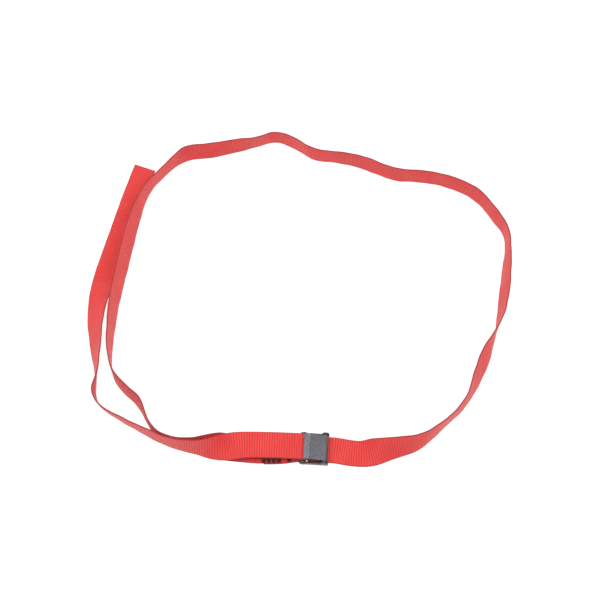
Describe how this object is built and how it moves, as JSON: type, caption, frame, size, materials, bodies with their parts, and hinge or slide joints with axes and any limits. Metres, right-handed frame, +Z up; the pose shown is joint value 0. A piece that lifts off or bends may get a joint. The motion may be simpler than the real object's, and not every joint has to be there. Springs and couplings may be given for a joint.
{
  "type": "luggage strap",
  "caption": "Flat red webbing strap with a steel cam buckle, laid out as an open loop on its edge with its free tail alongside.",
  "frame": {"origin": "middle of the buckle's footprint, on the surface that the buckle lies on", "axes": "+X along the webbing through the buckle, from the tail side to the loop side; +Y across the webbing, towards the inside of the laid loop; +Z up, away from the surface"},
  "size_m": [0.4287, 0.3742, 0.0254],
  "materials": {
    "webbing_red": "ribbed polyester webbing",
    "thread_red": "polyester sewing thread",
    "frame_black": "black zinc, satin",
    "lever_grey": "gun-metal coat, satin",
    "pin_steel": "dark plated steel",
    "spring_steel": "drawn spring wire"
  },
  "bodies": {
    "buckle": {"buckle_frame": "frame_black", "anchor_bar": "frame_black", "cam_pin": "pin_steel", "cam_spring": "spring_steel", "webbing": "webbing_red", "anchor_stitching": "thread_red"},
    "lever": {"cam_lever": "lever_grey"}
  },
  "joints": [
    {"name": "lever_hinge", "type": "hinge", "parent": "buckle", "child": "lever", "pos_m": [0.01, 0, 0.0056], "axis": [0, 1, 0], "range_deg": [0, 60], "stiffness_Nm_per_rad": 0.02, "springref_deg": -45.84, "deforming": ["cam_spring"]}
  ]
}
